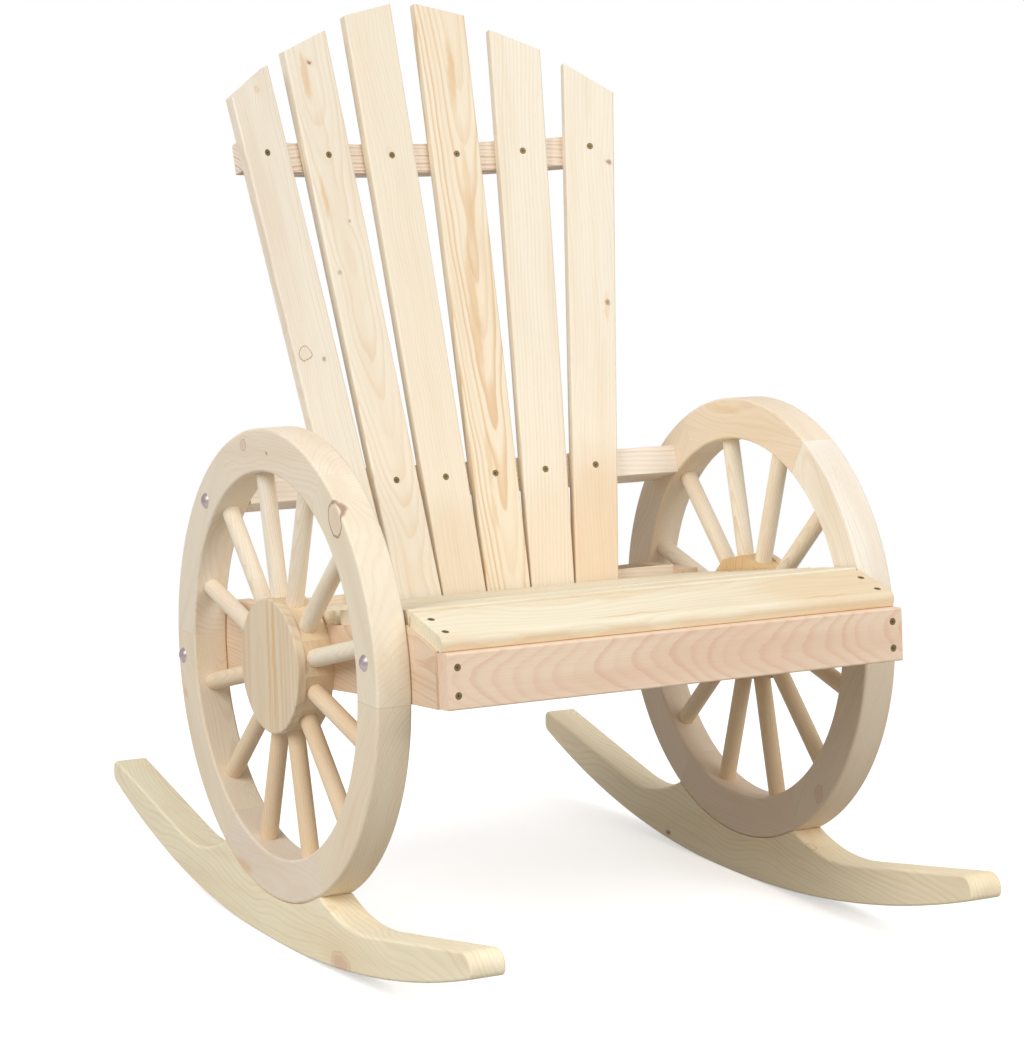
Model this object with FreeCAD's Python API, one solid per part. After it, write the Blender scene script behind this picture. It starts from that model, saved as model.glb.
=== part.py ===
import FreeCAD, Part

import math
import os

from FreeCAD import Matrix, Placement, Rotation, Vector

# A rocking chair of sawn softwood. Two spoked wheels make its sides and arms. Each wheel
# stands in the cradle of a curved rocker. The seat hangs between the wheels on two side
# rails, and a fan of six slats leans back behind it.
# X runs to the viewer's right, the front faces -Y and Z is up. The outlines are drawn
# around the middle of the wheels, and the finished pieces are then put over the floor.

# Driving sizes, in millimetres and degrees.

overall_width = 617.0          # over the outer faces of the two wheels
wheel_radius = 248.0           # outside of the rim
rim_width = 45.5               # radial width of the rim
rim_thickness = 39.0           # the wheels and the rockers are cut from the same stock
rim_round = 3.0                # rounding along the edges of the rim
segments = 6                   # glued segments in a rim, each with two spokes
spokes_in_segment = 2
joint_angle = 30.0             # first joint of the rim, from the top towards the front
rocker_under_wheel = 47.0      # wood between the lowest place of a wheel and the floor

spoke_diameter = 19.0
spoke_in_rim = 15.0            # depth of the hole in the rim
spoke_in_hub = 22.0            # depth of the hole in the hub block
spoke_clearance = 0.15         # room for glue around a spoke

hub_flat = 69.0                # from the middle to each flat of the twelve-sided block
hub_block_thickness = 32.0
cap_radius = 71.0              # round disc that covers the block on the outside
cap_thickness = 9.5
cap_round = 2.0

rocker_middle = 19.0           # rest point behind the wheel's middle, under the balance point
rocker_flat = 30.0             # straight stretch there, on which the chair comes to rest
rocker_front_radius = 1400.0   # curves that roll on the floor, before and behind it
rocker_rear_radius = 1070.0
front_tip_beyond = 193.0       # reach of the front tip beyond the wheel
rear_tip_beyond = 200.0        # reach of the rear tip
rocker_front_tip = 26.0        # height of the front tip before it is rounded
rocker_rear_tip = 24.5
front_tip_rounds = (16.0, 7.0)  # roundings of a tip, at its top and at the floor side
rear_tip_rounds = (8.0, 11.0)
cradle_clearance = 0.2
cradle_front = 27.0            # angle of the cradle's front corner from straight down
cradle_rear = 30.5
dip_rise = 11.0                # low places of the top edge, above the wheel's lowest place
front_dip_inside = 55.0        # their distances inside the wheel's reach
rear_dip_inside = 40.0
dip_radius = 195.0             # hollow beside the cradle
rocker_round = 3.0

seat_end_gap = 4.0             # between an end of a seat slat and the wheel
apron_end_gap = 3.0            # the same for the apron, the board below the seat's front
seat_board = 15.0              # thickness of the seat slats
apron_board = 19.0             # thickness of the apron
apron_height = 55.5
apron_lean = 4.9               # lean of the apron, its lower edge further forward
apron_ledge = 13.5             # width of its top edge that shows in front of the seat
apron_gap = 0.2                # between its top edge and the front slat's rounded lower edge
apron_screw_share = 0.25       # share of its height from an edge to a screw
board_round = 2.0              # softened long edges of the boards
front_slat_round = 8.0         # rounded front edge of the first slat
front_slat_width = 67.5
seat_slat_width = 73.1
seat_slat_gap = 11.0
first_gap = 6.6                # gap behind the front slat, whose lower corner reaches back
seat_ahead = 56.5              # top front corner of the seat, in front of the wheel
seat_height = 75.0             # its height above the wheel's middle
slat_tilts = (13.5, -8.5, -9.8, -9.5, -9.0)     # each seat slat's slope, rising to the rear

rail_thickness = 22.0          # the two side rails that carry the seat
rail_clearance = 0.2           # between a side rail and the wheel
rail_behind = 5.0              # rear end of the side rails, behind the wheel
rail_rear_bottom = -59.0       # bottom of the rail's rear end
rail_bow = 5.0                 # upward bow of its bottom edge
rail_rear_top = 24.0           # top of the rail's rear end
rail_shoulder = 19.5           # step in its top edge behind the last seat slat
shoulder_gap = 3.0             # between that slat and the step
shoulder_length = 100.0
shoulder_fall = 7.8            # fall of the shoulder over that length

back_lean = 17.4               # lean of the back from upright
back_gap = 8.1                 # from the last seat slat to the back's front, in the middle
back_drop = 2.7                # and down, to where seat height is counted from
back_board = 14.0              # thickness of a back slat
back_slats = 6
slat_foot = 24.0               # length of a slat below seat height
slat_blank = 700.0             # length of a slat above seat height before its top is sawn
foot_turn = 1.0                # turn of each slat against its neighbour at the foot
top_turn = 6.0                 # the same at the upper end, so the slats are a little twisted
slat_pitch = 55.75             # spacing of the slats at seat height
pitch_growth = 0.0526          # growth of the spacing per millimetre upwards
slat_width = 53.9              # width of a slat at seat height
slat_width_growth = 0.0115     # growth of a slat's width per millimetre upwards
# Heights of the sawn tops above seat height, at the inner and outer edge of a slat.
middle_pair_tops = (678.0, 663.0)
next_pair_tops = (645.5, 618.5)
outer_pair_tops = (601.0, 561.5)

upper_rail_at = 501.0          # the three rails behind the slats, measured up the back
upper_rail_height = 33.0
upper_rail_depth = 21.0
upper_rail_reach = 231.0       # half of its length
middle_rail_height = 31.0
middle_rail_depth = 48.0       # behind the slats, at the middle
middle_screw_drop = 2.0        # the row of screws into it, below its middle
lower_rail_at = -4.0
lower_rail_height = 34.0
lower_rail_depth = 24.0
rail_front_margin = 1.0        # flat ends stand this far in front of the outermost slat's back
curved_rail_margin = 8.0       # wood that the slats' seats are cut from on the curved rail

bolt_diameter = 8.0
bolt_clearance = 0.2
bolt_head_diameter = 17.0
bolt_head_height = 4.6
shank_in_head = 1.0
bolt_past_nut = 2.0
washer_diameter = 20.0
washer_thickness = 1.6
nut_width = 13.0               # across the flats
nut_thickness = 6.5
middle_bolt_length = 95.0      # coach bolt into the end of the middle rail
front_bolt_inside = 28.0       # places of the bolts, from the wheel's outside and middle
front_bolt_up = 41.0
rear_bolt_inside = 15.0
rear_bolt_down = 28.0
middle_bolt_back = 17.0        # behind the middle rail's slat face, at its middle
middle_bolt_drop = 4.0         # and below the rail's middle

screw_head = 7.5
screw_head_depth = 3.0
screw_shank = 3.8
screw_length = 32.0
screw_point = 4.0              # length of its pointed end
screw_clearance = 0.1
screw_edge = 11.5              # from the end of a slat to its screws
screw_rows = (0.24, 0.70)      # shares of a seat slat's width from its front to its screws
screw_inset = 0.3              # screw heads lie this far below the wood
lower_screw_share = 0.25       # of the lower rail's height, from its middle to a screw
lower_screw_depth = 0.4        # share of its depth
cut_margin = 5.0               # by which a cutting shape passes the wood
touch = 0.01                   # places closer than this are the same

# Sizes that follow from the driving sizes.

wheel_outer_x = overall_width / 2
wheel_inner_x = wheel_outer_x - rim_thickness
wheel_middle_x = (wheel_outer_x + wheel_inner_x) / 2
rim_inner_radius = wheel_radius - rim_width
spoke_inner_end = hub_flat - spoke_in_hub
spoke_outer_end = rim_inner_radius + spoke_in_rim
rim_middle_radius = wheel_radius - rim_width / 2
hub_height = wheel_radius + rocker_under_wheel
rocker_front = wheel_radius + front_tip_beyond
rocker_rear = wheel_radius + rear_tip_beyond
rocker_dip = wheel_radius - dip_rise
seat_width = 2 * (wheel_inner_x - seat_end_gap)
apron_width = 2 * (wheel_inner_x - apron_end_gap)
seat_front = -wheel_radius - seat_ahead
rail_outer_x = wheel_inner_x - rail_clearance
rail_inner_x = rail_outer_x - rail_thickness
rail_rear = wheel_radius + rail_behind
front_bolt = (front_bolt_inside - wheel_radius, front_bolt_up)
rear_bolt = (wheel_radius - rear_bolt_inside, -rear_bolt_down)
slat_tops = (middle_pair_tops, next_pair_tops, outer_pair_tops)
straight_down = 180.0
frame_shift = Vector(0, (rocker_front - rocker_rear) / 2, hub_height)
PIECES = {}


def keep(name, solids):
    """Put a piece over the floor and remember it under its name."""
    shape = solids if isinstance(solids, Part.Shape) else Part.makeCompound(solids)
    shape = shape.copy()
    shape.translate(frame_shift)
    PIECES[name] = shape


def mirrored(shape):
    """The same piece on the other side of the chair."""
    turned = shape.mirror(Vector(0, 0, 0), Vector(1, 0, 0))
    return Part.Solid(turned) if turned.ShapeType == "Shell" else turned


def outline(edges):
    """A closed outline from a list of lines and arcs."""
    return Part.Wire(Part.__sortEdges__([edge.toShape() for edge in edges]))


def polygon(points):
    return Part.makePolygon(list(points) + [points[0]])


def long_edges(board):
    """The four edges of a board that run across the chair."""
    return [edge for edge in board.Edges
            if abs(edge.BoundBox.XLength - edge.Length) < touch]


def yz(y, z, x=0.0):
    return Vector(x, y, z)


def around(radius, angle, x=0.0):
    """A point in the wheel's plane, its angle counted from the top towards the front."""
    turn = math.radians(angle)
    return Vector(x, -radius * math.sin(turn), radius * math.cos(turn))


# Wheels. Each rim is glued up from segments that meet on radial joints, with two spokes
# let into each segment. The spokes go into holes in the flats of the hub block.

def rim_segment(number):
    corners = [
        Vector(wheel_inner_x, 0, rim_inner_radius),
        Vector(wheel_outer_x, 0, rim_inner_radius),
        Vector(wheel_outer_x, 0, wheel_radius),
        Vector(wheel_inner_x, 0, wheel_radius),
    ]
    face = Part.Face(polygon(corners))
    span = 360.0 / segments
    block = face.revolve(Vector(0, 0, 0), Vector(1, 0, 0), span)
    arcs = [edge for edge in block.Edges if isinstance(edge.Curve, Part.Circle)]
    block = block.makeFillet(rim_round, arcs)
    block.rotate(Vector(0, 0, 0), Vector(1, 0, 0), joint_angle + span * number)
    for angle in spoke_angles(number):
        block = block.cut(spoke(angle, spoke_clearance, spoke_clearance))
    return block.Solids[0]


def spoke_angles(number):
    """Angles of the two spokes that a rim segment holds."""
    span = 360.0 / segments
    step = span / spokes_in_segment
    first = joint_angle + span * number + step / 2
    return [first + step * i for i in range(spokes_in_segment)]


def spoke(angle, wider=0.0, longer=0.0):
    start = around(spoke_inner_end - longer, angle, wheel_middle_x)
    length = spoke_outer_end - spoke_inner_end + 2 * longer
    return Part.makeCylinder(spoke_diameter / 2 + wider, length, start, around(1, angle))


def hub_block():
    sides = segments * spokes_in_segment
    corner = hub_flat / math.cos(math.pi / sides)
    first = joint_angle
    ring = [around(corner, first + i * 360.0 / sides, wheel_inner_x) for i in range(sides)]
    block = Part.Face(polygon(ring)).extrude(Vector(hub_block_thickness, 0, 0))
    for number in range(segments):
        for angle in spoke_angles(number):
            block = block.cut(spoke(angle, spoke_clearance, spoke_clearance))
    return block.Solids[0]


def hub_cap():
    start = Vector(wheel_inner_x + hub_block_thickness, 0, 0)
    disc = Part.makeCylinder(cap_radius, cap_thickness, start, Vector(1, 0, 0))
    face_x = start.x + cap_thickness
    rim = [edge for edge in disc.Edges
           if isinstance(edge.Curve, Part.Circle) and abs(edge.Curve.Center.x - face_x) < touch]
    return disc.makeFillet(cap_round, rim)


# Rockers. The lower edge rolls on two arcs with a short flat between them. The top edge
# carries the wheel in a round cradle between two corners, dips beside it and rises again
# to the rounded tips.

def floor_line(y):
    """Height of the rolling edge at a place along the rocker."""
    radius = rocker_front_radius if y < rocker_middle else rocker_rear_radius
    beyond = max(abs(y - rocker_middle) - rocker_flat / 2, 0)
    return -hub_height + radius - math.sqrt(radius ** 2 - beyond ** 2)


def dip_point(side, away):
    """A point of the hollow beside the cradle, so far from its lowest place."""
    lowest = front_dip_inside - wheel_radius if side < 0 else wheel_radius - rear_dip_inside
    rise = dip_radius - math.sqrt(dip_radius ** 2 - away ** 2)
    return yz(lowest + away, rise - rocker_dip)


def run_start(side, tip):
    """Where the straight run from the top of a tip touches the hollow."""
    centre = dip_point(side, 0.0) + Vector(0, 0, dip_radius)
    away = tip - centre
    turn = math.atan2(away.z, away.y) - side * math.acos(dip_radius / away.Length)
    return centre + yz(dip_radius * math.cos(turn), dip_radius * math.sin(turn))


def rocker():
    cradle = wheel_radius + cradle_clearance
    corners = {-1: around(cradle, straight_down - cradle_front),
               1: around(cradle, straight_down + cradle_rear)}
    tips = {-1: (-rocker_front, rocker_front_tip), 1: (rocker_rear, rocker_rear_tip)}
    rests = {}
    edges = []
    for side, (tip_y, tip_height) in tips.items():
        low = yz(tip_y, floor_line(tip_y))
        high = yz(tip_y, low.z + tip_height)
        lowest = dip_point(side, 0.0)
        leave = run_start(side, high)
        halfway = dip_point(side, (leave.y - lowest.y) / 2)
        edges.append(Part.Arc(corners[side], corner_side(corners[side], lowest), lowest))
        edges.append(Part.Arc(lowest, halfway, leave))
        edges.append(Part.LineSegment(leave, high))
        edges.append(Part.LineSegment(high, low))
        rest_y = rocker_middle + side * rocker_flat / 2
        halfway_y = (tip_y + rest_y) / 2
        rests[side] = yz(rest_y, floor_line(rest_y))
        edges.append(Part.Arc(low, yz(halfway_y, floor_line(halfway_y)), rests[side]))
    edges.append(Part.Arc(corners[-1], around(cradle, straight_down), corners[1]))
    edges.append(Part.LineSegment(rests[-1], rests[1]))
    face = Part.Face(outline(edges))
    plank = face.extrude(Vector(rim_thickness, 0, 0))
    plank.translate(Vector(wheel_inner_x, 0, 0))
    for tip_y, rounds in ((-rocker_front, front_tip_rounds), (rocker_rear, rear_tip_rounds)):
        for height, radius in ((max, rounds[0]), (min, rounds[1])):
            corner_edges = tip_edges(plank, tip_y)
            level = height(edge.CenterOfMass.z for edge in corner_edges)
            plank = plank.makeFillet(radius, [edge for edge in corner_edges
                                              if abs(edge.CenterOfMass.z - level) < touch])
    return plank.makeFillet(rocker_round, rocker_arrises(plank)).Solids[0]


def corner_side(corner, lowest):
    """A point between the cradle's corner and the hollow's lowest place, on one round."""
    chord = lowest - corner
    middle = (corner + lowest) * 0.5
    half = chord.Length / 2
    bulge = dip_radius - math.sqrt(dip_radius ** 2 - half ** 2)
    across = Vector(0, -chord.z, chord.y).normalize()
    return middle - across * bulge if across.z > 0 else middle + across * bulge


def tip_edges(plank, tip_y):
    """The edges across the plank at the end of a tip."""
    return [edge for edge in long_edges(plank)
            if abs(edge.CenterOfMass.y - tip_y) < touch]


def rocker_arrises(plank):
    """Outer edges of the rocker's two faces, leaving the cradle sharp against the rim."""
    found = []
    for edge in plank.Edges:
        box = edge.BoundBox
        in_face = box.XLength < touch
        middle = edge.valueAt((edge.FirstParameter + edge.LastParameter) / 2)
        reach = math.hypot(middle.y, middle.z)
        if in_face and reach > wheel_radius + cradle_clearance + touch:
            found.append(edge)
    return found


# Seat. Every slat lies on a flat of the side rails. A slat is given by the lower front
# corner of its section and by its slope.

def slat_sections():
    """Top front corner, slope and width of every seat slat, from the front."""
    rows = []
    corner = yz(seat_front, seat_height)
    for number, tilt in enumerate(slat_tilts):
        width = front_slat_width if number == 0 else seat_slat_width
        slope = math.radians(tilt)
        along = yz(math.cos(slope), math.sin(slope))
        rows.append((corner, along, width))
        gap = first_gap if number == 0 else seat_slat_gap
        corner = corner + along * (width + gap)
    return rows


def below(along):
    """Direction down through a seat slat."""
    return yz(along.z, -along.y)


def seat_slat(number):
    corner, along, width = slat_sections()[number]
    down = below(along) * seat_board
    section = [corner, corner + along * width, corner + along * width + down, corner + down]
    plank = Part.Face(polygon(section)).extrude(Vector(seat_width, 0, 0))
    plank.translate(Vector(-seat_width / 2, 0, 0))
    edges = long_edges(plank)
    if number == 0:
        nose = [edge for edge in edges if (yz(edge.CenterOfMass.y, edge.CenterOfMass.z)
                                           - corner).Length < touch]
        others = [edge for edge in edges if not edge.isSame(nose[0])]
        plank = plank.makeFillet(front_slat_round, nose)
        edges = matching(plank, others)
    plank = plank.makeFillet(board_round, edges)
    for screw in seat_screws_of(number, screw_clearance):
        plank = plank.cut(screw)
    return plank.Solids[0]


def matching(shape, wanted):
    """The edges of a changed shape that still run where the wanted ones ran."""
    middles = [edge.CenterOfMass for edge in wanted]
    return [edge for edge in shape.Edges
            if any((edge.CenterOfMass - middle).Length < touch for middle in middles)]


def apron_corner():
    """Top front corner of the apron and its directions down and back."""
    corner, along, width = slat_sections()[0]
    under = corner + below(along) * seat_board
    lean = math.radians(apron_lean)
    down = yz(-math.sin(lean), -math.cos(lean))
    back = yz(math.cos(lean), -math.sin(lean))
    # The lowest point of the slat's rounded edge, where it lies on the apron.
    seat = under + (along - below(along)) * board_round + yz(0, -board_round)
    front = under.y - apron_ledge
    top = seat.z - apron_gap + (seat.y - front) * math.tan(lean)
    return yz(front, top), down, back


def apron():
    corner, down, back = apron_corner()
    down = down * apron_height
    back = back * apron_board
    section = [corner, corner + back, corner + back + down, corner + down]
    plank = Part.Face(polygon(section)).extrude(Vector(apron_width, 0, 0))
    plank.translate(Vector(-apron_width / 2, 0, 0))
    plank = plank.makeFillet(board_round, long_edges(plank))
    for screw in apron_screws(screw_clearance):
        plank = plank.cut(screw).cut(mirrored(screw))
    return plank.Solids[0]


def side_rail():
    """The rail under the seat: flats for the slats, a shoulder behind the last one."""
    corner, down, back = apron_corner()
    front_top = corner + back * apron_board
    front_bottom = front_top + down * apron_height
    points = []
    for corner, along, width in slat_sections():
        under = corner + below(along) * seat_board
        points += [under, under + along * width]
    # Its front lies on the apron's back, as far up as the front slat.
    slope = points[1] - points[0]
    rise = (points[0] - front_top).cross(slope).x / down.cross(slope).x
    points[0] = front_top + down * rise
    last = points[-1]
    step = yz(last.y + shoulder_gap, last.z + rail_shoulder)
    points += [yz(last.y + shoulder_gap, last.z), step]
    points.append(yz(step.y + shoulder_length, step.z - shoulder_fall))
    points.append(yz(rail_rear, rail_rear_top))
    end = yz(rail_rear, rail_rear_bottom)
    edges = [Part.LineSegment(a, b) for a, b in zip(points, points[1:] + [end])]
    middle = (front_bottom + end) * 0.5 + Vector(0, 0, rail_bow)
    edges.append(Part.Arc(end, middle, front_bottom))
    edges.append(Part.LineSegment(front_bottom, points[0]))
    face = Part.Face(outline(edges))
    plank = face.extrude(Vector(rail_thickness, 0, 0))
    plank.translate(Vector(rail_inner_x, 0, 0))
    for hole in rail_bolts(bolt_clearance):
        plank = plank.cut(hole)
    holes = apron_screws(screw_clearance) + lower_rail_screws(screw_clearance)
    for number in range(len(slat_tilts)):
        holes += seat_screws_of(number, screw_clearance)
    for screw in holes:
        plank = plank.cut(screw)
    return plank.Solids[0]


# Back. The slats are laid against rails that are hollow in front, and more so at the top, so
# that each slat is turned against its neighbour and a little twisted along its length. A
# place on the back is given in the back's own frame: across, behind the front faces, and
# up from seat height.

lean = math.radians(back_lean)
last_corner, last_along, last_width = slat_sections()[-1]
foot = last_corner + last_along * last_width + yz(back_gap, -back_drop)
BACK = Placement(
    Matrix(1, 0, 0, 0,
           0, math.cos(lean), math.sin(lean), foot.y,
           0, -math.sin(lean), math.cos(lean), foot.z,
           0, 0, 0, 1))


def rim_crossing(behind):
    """How far up the back a line behind its front faces meets the middle of the rim."""
    start = BACK.multVec(Vector(0, behind, 0))
    along = BACK.multVec(Vector(0, behind, 1)) - start
    level = -start.dot(along)
    return level + math.sqrt(level ** 2 - start.dot(start) + rim_middle_radius ** 2)


middle_rail_at = rim_crossing(back_board + middle_bolt_back) + middle_bolt_drop


def half_slat(up):
    return (slat_width + slat_width_growth * up) / 2


def section_point(number, up, turn_step, across, behind):
    """A point of a slat's end: across counts in half widths, behind in millimetres."""
    place = number - (back_slats - 1) / 2
    step = math.radians(turn_step)
    turn = step * place
    radius = (slat_pitch + pitch_growth * up) / step
    sideways = across * half_slat(up)
    x = radius * math.sin(turn) + sideways * math.cos(turn) + behind * math.sin(turn)
    y = -radius * (1 - math.cos(turn)) - sideways * math.sin(turn) + behind * math.cos(turn)
    return Vector(x, y, up)


def slat_point(number, up, across=0.0, behind=0.0):
    """A point of a slat in the back's frame, on the straight line between its two ends."""
    foot = section_point(number, -slat_foot, foot_turn, across, behind)
    top = section_point(number, slat_blank, top_turn, across, behind)
    return foot + (top - foot) * ((up + slat_foot) / (slat_blank + slat_foot))


def slat_frame(number, up):
    """Placement on a slat's front face: its own X across, Y into the wood and Z along it."""
    start = BACK.multVec(slat_point(number, up))
    along = (BACK.multVec(slat_point(number, up + 1)) - start).normalize()
    side = BACK.multVec(slat_point(number, up, 1.0)) - start
    across = (side - along * side.dot(along)).normalize()
    into = along.cross(across)
    return Placement(Matrix(across.x, into.x, along.x, start.x,
                            across.y, into.y, along.y, start.y,
                            across.z, into.z, along.z, start.z,
                            0, 0, 0, 1))


def slat_ring(number, up):
    """The outline of a slat's section with softened corners."""
    flat = 1 - board_round / half_slat(-slat_foot)
    corners = ((1, 0, -1, 1), (1, back_board, 1, -1), (-1, back_board, 1, -1), (-1, 0, -1, 1))
    half_round = math.sin(math.radians(45))
    arcs = []
    for index, (side, depth, turn_in, turn_out) in enumerate(corners):
        inward = 1 if depth == 0 else -1
        on_face = (side * flat, depth)
        on_edge = (side, depth + inward * board_round)
        middle = (side * (flat + (1 - flat) * half_round),
                  depth + inward * board_round * (1 - half_round))
        ends = (on_face, middle, on_edge) if index % 2 == 0 else (on_edge, middle, on_face)
        arcs.append([BACK.multVec(slat_point(number, up, *point)) for point in ends])
    edges = []
    for index, points in enumerate(arcs):
        following = arcs[(index + 1) % len(arcs)]
        edges.append(Part.Arc(*points).toShape())
        edges.append(Part.LineSegment(points[2], following[0]).toShape())
    return Part.Wire(edges)


def back_slat(number):
    """A slat between its foot and its full length, with the slanted top sawn off."""
    plank = Part.makeLoft([slat_ring(number, -slat_foot), slat_ring(number, slat_blank)],
                          True, True)
    pair = abs(number - (back_slats - 1) / 2) - 0.5
    inner, outer = slat_tops[int(pair)]
    left, right = (outer, inner) if number < back_slats / 2 else (inner, outer)
    frame = slat_frame(number, (left + right) / 2)
    low = frame.inverse().multVec(BACK.multVec(slat_point(number, left, -1.0)))
    high = frame.inverse().multVec(BACK.multVec(slat_point(number, right, 1.0)))
    slope = (high.z - low.z) / (high.x - low.x)
    reach = slat_width
    waste = polygon([
        Vector(-reach, -reach, low.z + slope * (-reach - low.x)),
        Vector(reach, -reach, low.z + slope * (reach - low.x)),
        Vector(reach, -reach, slat_blank),
        Vector(-reach, -reach, slat_blank),
    ])
    waste = Part.Face(waste).extrude(Vector(0, 2 * reach, 0))
    waste.Placement = frame
    plank = plank.cut(waste)
    for screw in back_screws_of(number, screw_clearance):
        plank = plank.cut(screw)
    return plank.Solids[0]


def front_of_rail(at, height):
    """All the space in front of the slats' back faces, which a rail is cut to."""
    far = 2 * overall_width / slat_width
    ahead = -overall_width / 3
    space = None
    for number in range(back_slats):
        rings = []
        for up in (at - height, at + height):
            corners = ((-far, back_board), (far, back_board), (far, ahead), (-far, ahead))
            rings.append(polygon([BACK.multVec(slat_point(number, up, *corner))
                                  for corner in corners]))
        block = Part.makeLoft(rings, True, True)
        space = block if space is None else space.common(block)
    return space


def outer_corner(up):
    """Rear outer corner of the outermost slat at a height, in the back's frame."""
    return slat_point(back_slats - 1, up, 1.0, back_board)


def straight_rail(at, height, depth, half_length):
    """A rail with a straight back and a hollow front that the slats lie against."""
    front = outer_corner(at + height / 2).y - rail_front_margin
    back = back_board + depth
    bar = Part.makeBox(2 * half_length, back - front, height,
                       Vector(-half_length, front, at - height / 2))
    bar.Placement = BACK.multiply(bar.Placement)
    return finished_rail(bar, at, height)


def curved_rail(at, height, depth, half_length):
    """A rail of even depth that follows the curve of the slats."""
    corner = outer_corner(at)
    sag = back_board - corner.y
    radius = (corner.x ** 2 + sag ** 2) / (2 * sag)
    centre = Vector(0, back_board - radius, at - height / 2)
    ring = Part.makeCylinder(radius + depth, height, centre, Vector(0, 0, 1))
    ring = ring.cut(Part.makeCylinder(radius - curved_rail_margin, height, centre))
    span = Part.makeBox(2 * half_length, 2 * depth + 4 * sag, height,
                        Vector(-half_length, -4 * sag, at - height / 2))
    bar = ring.common(span)
    bar.Placement = BACK.multiply(bar.Placement)
    return finished_rail(bar, at, height)


def finished_rail(bar, at, height):
    bar = bar.cut(front_of_rail(at, height))
    for number in range(back_slats):
        for screw in back_screws_of(number, screw_clearance):
            bar = bar.cut(screw)
    return bar.Solids[0]


def upper_rail():
    return curved_rail(upper_rail_at, upper_rail_height, upper_rail_depth, upper_rail_reach)


def middle_rail():
    bar = straight_rail(middle_rail_at, middle_rail_height, middle_rail_depth, rail_outer_x)
    hole = middle_bolt(bolt_clearance)
    return bar.cut(hole).cut(mirrored(hole)).Solids[0]


def lower_rail():
    bar = straight_rail(lower_rail_at, lower_rail_height, lower_rail_depth,
                        rail_inner_x - rail_clearance)
    for screw in lower_rail_screws(screw_clearance):
        bar = bar.cut(screw).cut(mirrored(screw))
    return bar.Solids[0]


# Fasteners. Coach bolts with low domed heads go through each wheel into the rails, and
# flat-headed screws hold the boards.

def bolt(place, inner_end, wider=0.0):
    """A coach bolt through the wheel at a place, as far in as inner_end."""
    y, z = place
    shank = Part.makeCylinder(bolt_diameter / 2 + wider, wheel_outer_x - inner_end + shank_in_head,
                              Vector(inner_end, y, z), Vector(1, 0, 0))
    if wider:
        return shank
    radius = (bolt_head_diameter ** 2 / 4 + bolt_head_height ** 2) / (2 * bolt_head_height)
    ball = Part.makeSphere(radius, Vector(wheel_outer_x + bolt_head_height - radius, y, z))
    slab = Part.makeBox(2 * radius, 2 * radius, 2 * radius,
                        Vector(wheel_outer_x, y - radius, z - radius))
    return shank.fuse(ball.common(slab)).removeSplitter().Solids[0]


def rail_bolts(wider=0.0):
    inner_end = rail_inner_x - washer_thickness - nut_thickness - bolt_past_nut
    return [bolt(place, inner_end, wider) for place in (front_bolt, rear_bolt)]


def middle_bolt(wider=0.0):
    at = BACK.multVec(Vector(0, back_board + middle_bolt_back, middle_rail_at - middle_bolt_drop))
    return bolt((at.y, at.z), wheel_outer_x - middle_bolt_length, wider)


def nut_and_washer(place):
    y, z = place
    face = Vector(rail_inner_x - washer_thickness, y, z)
    inner_end = face.x - nut_thickness - cut_margin
    bore = Part.makeCylinder(bolt_diameter / 2 + bolt_clearance, wheel_inner_x - inner_end,
                             Vector(inner_end, y, z), Vector(1, 0, 0))
    washer = Part.makeCylinder(washer_diameter / 2, washer_thickness, face, Vector(1, 0, 0))
    corner = nut_width / 2 / math.cos(math.pi / 6)
    ring = [Vector(face.x - nut_thickness, y + corner * math.sin(i * math.pi / 3),
                   z + corner * math.cos(i * math.pi / 3)) for i in range(6)]
    nut = Part.Face(polygon(ring)).extrude(Vector(nut_thickness, 0, 0))
    return [washer.cut(bore).Solids[0], nut.cut(bore).Solids[0]]


def screw(head, inwards, wider=0.0):
    """A flat-headed screw with the middle of its head at a point, driven inwards.

    A wider one is its hole, which is open at the face of the wood.
    """
    radius = screw_head / 2 + wider
    shank = screw_shank / 2 + wider
    mouth = -2 * screw_inset if wider else 0.0
    profile = [Vector(0, 0, mouth), Vector(radius, 0, mouth), Vector(radius, 0, 0),
               Vector(shank, 0, screw_head_depth),
               Vector(shank, 0, screw_length - screw_point + wider),
               Vector(0, 0, screw_length + wider)]
    if not wider:
        profile.pop(1)
    body = Part.Face(polygon(profile)).revolve(Vector(0, 0, 0), Vector(0, 0, 1), 360)
    body.Placement = Placement(head, Rotation(Vector(0, 0, 1), inwards))
    return body


def seat_screws_of(number, wider=0.0):
    """The two screws at the right end of a seat slat."""
    corner, along, width = slat_sections()[number]
    x = seat_width / 2 - screw_edge
    down = below(along)
    start = corner + down * screw_inset + Vector(x, 0, 0)
    return [screw(start + along * (width * share), down, wider) for share in screw_rows]


def apron_screws(wider=0.0):
    corner, down, back = apron_corner()
    start = corner + back * screw_inset + Vector(apron_width / 2 - screw_edge, 0, 0)
    return [screw(start + down * (apron_height * share), back, wider)
            for share in (apron_screw_share, 1 - apron_screw_share)]


def lower_rail_screws(wider=0.0):
    """Screws through the side rail into the end of the lower back rail."""
    rows = []
    for side in (-1, 1):
        up = lower_rail_at + side * lower_rail_height * lower_screw_share
        at = BACK.multVec(Vector(0, back_board + lower_rail_depth * lower_screw_depth, up))
        rows.append(screw(Vector(rail_outer_x - screw_inset, at.y, at.z), Vector(-1, 0, 0), wider))
    return rows


def back_screws_of(number, wider=0.0):
    """One screw through a back slat into each of the three rails."""
    rows = []
    for up in (lower_rail_at, middle_rail_at - middle_screw_drop, upper_rail_at):
        frame = slat_frame(number, up)
        into = frame.Rotation.multVec(Vector(0, 1, 0))
        rows.append(screw(frame.multVec(Vector(0, screw_inset, 0)), into, wider))
    return rows


def both(shapes):
    return list(shapes) + [mirrored(shape) for shape in shapes]


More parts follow.
